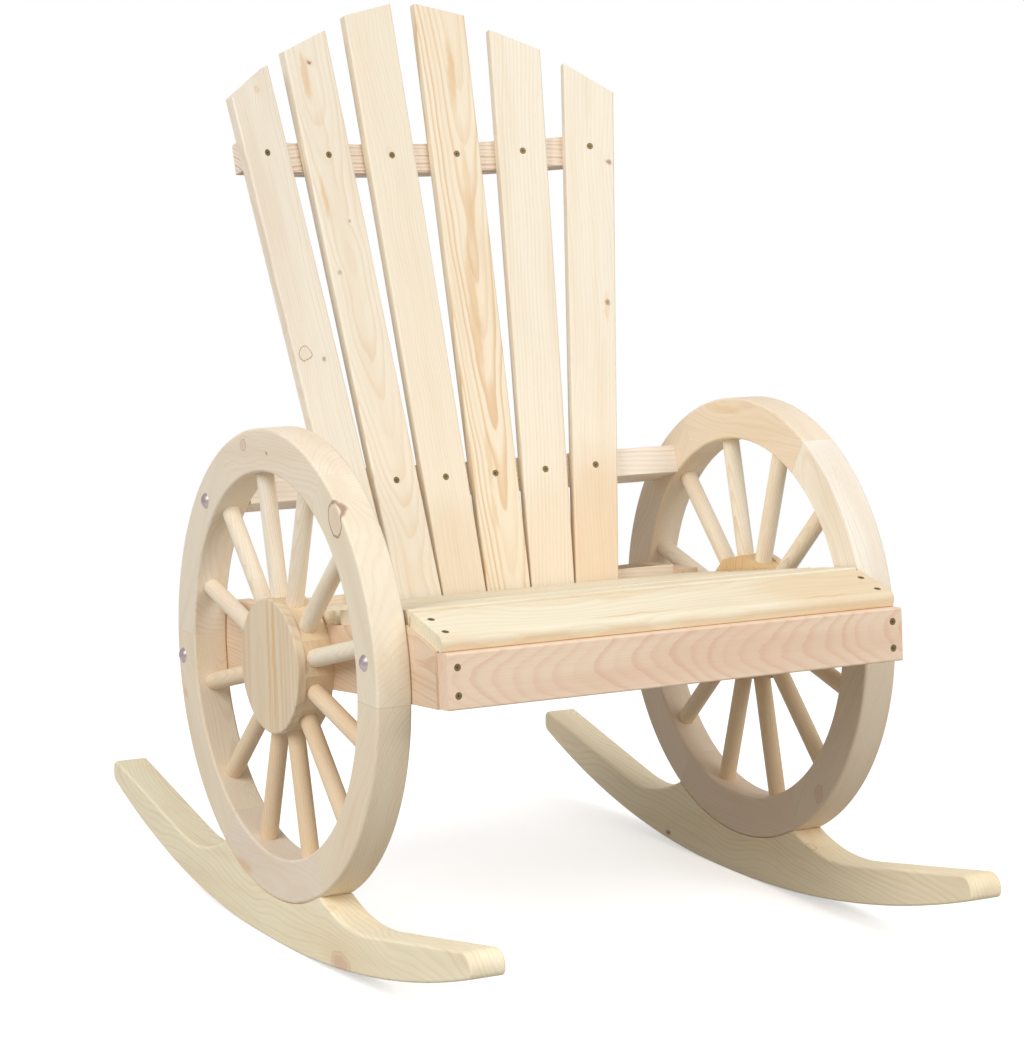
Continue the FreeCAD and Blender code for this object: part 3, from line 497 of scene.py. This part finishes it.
# Screws
# Flat-headed wood screws with a crossed recess, yellow-passivated and gone dull brown. Each
# takes its place and direction from the plain screw in the CAD that it replaces.

# The clouds are finer than on the bolts, some 2 mm across.
stained = plated_steel("yellow passivated steel", 0.8, 600.0, 2.0, ("4E402D", "8A7852"), (0.4, 0.6))
HEAD_RADIUS = 0.00375
# The head's edge and cone, the shank and the point: how far each goes down, and its end's
# width as a share of its start's.
SCREW_STEPS = ((0.0004, 1.0), (0.0026, 0.507), (0.025, 1.0), (0.004, 0.05))
RECESS = (0.0042, 0.0009, 0.0036)     # length, width and twice the depth
RECESS_TAPER = 0.35                   # share of its size that is left at its bottom
SCREW_SPIN = 0.7                      # turn of a screw's recess against the one before
WELD = 1e-6                           # corners closer than this are one


def screw_places(name):
    """Where the screws of a CAD node are: the middle of each head and the way it is driven."""
    shape = bmesh.new()
    shape.from_mesh(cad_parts[name].data)
    bmesh.ops.remove_doubles(shape, verts=shape.verts, dist=WELD)
    known = set()
    places = []
    for first in shape.verts:
        if first in known:
            continue
        known.add(first)
        piece = [first]
        for vertex in piece:
            for link in vertex.link_edges:
                other = link.other_vert(vertex)
                if other not in known:
                    known.add(other)
                    piece.append(other)
        points = [vertex.co.copy() for vertex in piece]
        middle = sum(points, Vector()) / len(points)
        # The tip is furthest from the middle, and the head's rim is furthest from the tip.
        tip = max(points, key=lambda point: (point - middle).length)
        furthest = max((point - tip).length for point in points)
        rim = [point for point in points if (point - tip).length > 0.995 * furthest]
        head = sum(rim, Vector()) / len(rim)
        places.append((head, (tip - head).normalized()))
    shape.free()
    return sorted(places, key=lambda found: tuple(round(value, 4) for value in found[0]))


bpy.ops.object.select_all(action="DESELECT")
bpy.ops.mesh.primitive_circle_add(vertices=32, radius=HEAD_RADIUS, fill_type="NGON")
screw = bpy.context.object
screw.name = "screw_pattern"
bpy.ops.object.mode_set(mode="EDIT")
bpy.ops.mesh.select_all(action="SELECT")
for depth, width in SCREW_STEPS:
    bpy.ops.mesh.extrude_region_move(TRANSFORM_OT_translate={"value": (0, 0, -depth)})
    bpy.ops.transform.resize(value=(width, width, 1), center_override=(0, 0, 0))
bpy.ops.mesh.select_all(action="DESELECT")
bpy.ops.object.mode_set(mode="OBJECT")
shape = bmesh.new()
shape.from_mesh(screw.data)
bmesh.ops.holes_fill(shape, edges=shape.edges)
bmesh.ops.recalc_face_normals(shape, faces=shape.faces)
shape.to_mesh(screw.data)
shape.free()
# The crossed recess: two crossed wedges taken out of the head.
for turn in (0, 90):
    bpy.ops.object.select_all(action="DESELECT")
    bpy.ops.mesh.primitive_cube_add(size=1)
    wedge = bpy.context.object
    wedge.scale = RECESS
    wedge.rotation_euler = (0, 0, math.radians(turn))
    bpy.ops.object.transform_apply(location=True, rotation=True, scale=True)
    for vertex in wedge.data.vertices:
        if vertex.co.z < 0:
            vertex.co.x *= RECESS_TAPER
            vertex.co.y *= RECESS_TAPER
    cut = screw.modifiers.new("recess", "BOOLEAN")
    cut.operation = "DIFFERENCE"
    cut.object = wedge
    bpy.context.view_layer.objects.active = screw
    bpy.ops.object.modifier_apply(modifier=cut.name)
    bpy.data.objects.remove(wedge)

for name in ("seat_screws", "back_screws"):
    copies = []
    for head, way in screw_places(name):
        mesh = screw.data.copy()
        turned = (-way).to_track_quat("Z", "Y").to_matrix().to_4x4()
        spin = Matrix.Rotation(len(copies) * SCREW_SPIN, 4, "Z")
        mesh.transform(Matrix.Translation(head) @ turned @ spin)
        copies.append(bpy.data.objects.new("one_screw", mesh))
        bpy.context.scene.collection.objects.link(copies[-1])
    bpy.ops.object.select_all(action="DESELECT")
    for copy in copies:
        copy.select_set(True)
    bpy.context.view_layer.objects.active = copies[0]
    bpy.ops.object.join()
    screws = bpy.context.object
    screws.name = name + "_driven"
    screws.data.materials.clear()
    screws.data.materials.append(stained)
    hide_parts(name)
    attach(screws, "root")
bpy.data.objects.remove(screw)

# Studio
# White paper on the floor that keeps the chair's soft shadow, in a soft white room. Only the
# camera and reflections see the paper as white: it throws little light back up at the chair.

WHITE = (1, 1, 1, 1)
ROOM_LIGHT = 0.52         # the room's light on the chair, where white to the camera is 1
PAPER_GLOW = 0.5          # lifts the paper to white where the lamps light it
FADE = (0.9, 2.0)         # from the middle outwards, where the paper turns plain white


def seen(tree):
    """1 for what the camera sees, also in reflections and through clear things, and else 0."""
    ray = node(tree, "ShaderNodeLightPath").outputs
    direct = node(tree, "ShaderNodeMath", {0: ray["Is Camera Ray"], 1: ray["Is Glossy Ray"]},
                  operation="MAXIMUM")
    return node(tree, "ShaderNodeMath", {0: direct, 1: ray["Is Transmission Ray"]},
                operation="MAXIMUM")


bpy.ops.object.select_all(action="DESELECT")
bpy.ops.mesh.primitive_plane_add(size=60.0, location=(0, 0, 0))
floor = bpy.context.object
floor.name = "studio_floor"
paper = bpy.data.materials.new("white studio paper")
paper.use_nodes = True
tree = paper.node_tree
shader = tree.nodes["Principled BSDF"]
shader.inputs["Base Color"].default_value = linear("A09E9B")
shader.inputs["Roughness"].default_value = 0.9
shader.inputs["Specular IOR Level"].default_value = 0.0
white = node(tree, "ShaderNodeBsdfDiffuse", {"Color": linear("FAFAFA")})
glow = node(tree, "ShaderNodeEmission", {"Color": WHITE, "Strength": PAPER_GLOW})
lit = node(tree, "ShaderNodeAddShader", {0: white, 1: glow})
place = node(tree, "ShaderNodeTexCoord").outputs["Object"]
away = node(tree, "ShaderNodeVectorMath", {0: place}, operation="LENGTH").outputs["Value"]
far = node(tree, "ShaderNodeMapRange", {0: away, 1: FADE[0], 2: FADE[1]},
           interpolation_type="SMOOTHSTEP")
plain = node(tree, "ShaderNodeEmission", {"Color": WHITE, "Strength": 1.0})
bright = node(tree, "ShaderNodeMixShader", {0: far, 1: lit, 2: plain})
shown = node(tree, "ShaderNodeMixShader", {0: seen(tree), 1: shader, 2: bright})
tree.links.new(shown.outputs[0], tree.nodes["Material Output"].inputs["Surface"])
floor.data.materials.append(paper)

world = bpy.data.worlds.new("soft white room")
bpy.context.scene.world = world
world.use_nodes = True
tree = world.node_tree
room = tree.nodes["Background"]
room.inputs["Color"].default_value = WHITE
room.inputs["Strength"].default_value = ROOM_LIGHT
backdrop = node(tree, "ShaderNodeBackground", {"Color": WHITE, "Strength": 1.0})
shown = node(tree, "ShaderNodeMixShader", {0: seen(tree), 1: room, 2: backdrop})
tree.links.new(shown.outputs[0], tree.nodes["World Output"].inputs["Surface"])


def lamp(name, place, target, size, power):
    """A square lamp that faces its target, with its power in watts."""
    data = bpy.data.lights.new(name, "AREA")
    data.shape = "SQUARE"
    data.size = size
    data.energy = power
    made = bpy.data.objects.new(name, data)
    bpy.context.scene.collection.objects.link(made)
    made.location = place
    made.rotation_euler = (Vector(target) - Vector(place)).to_track_quat("-Z", "Y").to_euler()


lamp("large lamp, front right", (0.9, -3.2, 2.6), (0, 0, 0.45), 2.0, 61)
lamp("fill lamp, left", (-3.0, -1.1, 2.5), (0, 0, 0.4), 2.0, 71)

# The camera was fitted to the wheels, the seat, the back and the rockers of the photograph.
camera_data = bpy.data.cameras.new("camera")
camera = bpy.data.objects.new("camera", camera_data)
bpy.context.scene.collection.objects.link(camera)
camera.location = (-1.69104, -3.05017, 0.95372)
camera.rotation_euler = Euler((math.radians(81.555), 0, math.radians(-28.768)), "XYZ")
camera_data.sensor_width = 36.0
camera_data.lens = 111.74
camera_data.shift_x = -0.0031
camera_data.shift_y = -0.0140
bpy.context.scene.camera = camera
bpy.context.scene.view_settings.view_transform = "Standard"
